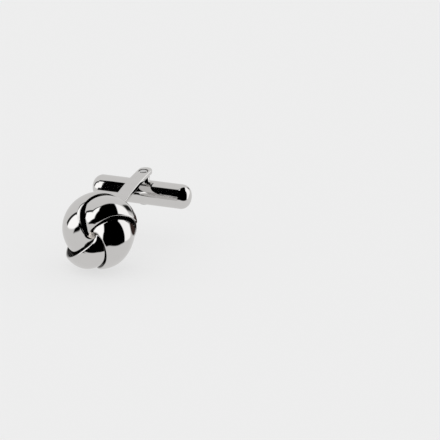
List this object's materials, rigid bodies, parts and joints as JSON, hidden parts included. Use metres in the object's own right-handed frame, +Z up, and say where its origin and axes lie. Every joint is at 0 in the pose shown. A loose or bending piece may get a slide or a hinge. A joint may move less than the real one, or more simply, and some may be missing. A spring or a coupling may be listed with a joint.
{
  "type": "knot cufflink",
  "caption": "Polished woven-knot cufflink: a domed knot head on a bowed arm that carries a swivelling round bar to hold a shirt cuff.",
  "frame": {"origin": "middle of the flat back face of the knot head", "axes": "+Y from the head along the post towards the bar, +X along the bar at rest, +Z up towards the side on which the arm passes the bar"},
  "size_m": [0.02, 0.0294, 0.0142],
  "materials": {
    "polished_plate": "mirror-polished rhodium plate",
    "core_brass": "bare, unseen",
    "back_plate": "satin-polished plate",
    "arm_plate": "polished plate",
    "bar_plate": "mirror-polished plate",
    "pin_steel": "turned and riveted",
    "spring_steel": "bright spring steel"
  },
  "bodies": {
    "head": {"band_top": "polished_plate", "band_left": "polished_plate", "band_bottom": "polished_plate", "band_right": "polished_plate", "centre_bead": "polished_plate", "knot_core": "core_brass", "back_plate": "back_plate", "post_arm": "arm_plate", "pivot_pin": "pin_steel", "cone_washer": "spring_steel", "rivet_collar": "pin_steel"},
    "bar": {"bar_tube": "bar_plate", "end_cap_left": "bar_plate", "end_cap_right": "bar_plate", "detent_plunger": "pin_steel", "detent_spring": "spring_steel"}
  },
  "joints": [
    {"name": "bar_swivel", "type": "hinge", "parent": "head", "child": "bar", "pos_m": [0, 0.0154, 0.00175], "axis": [0, -0.1132, 0.9936], "continuous": true}
  ]
}
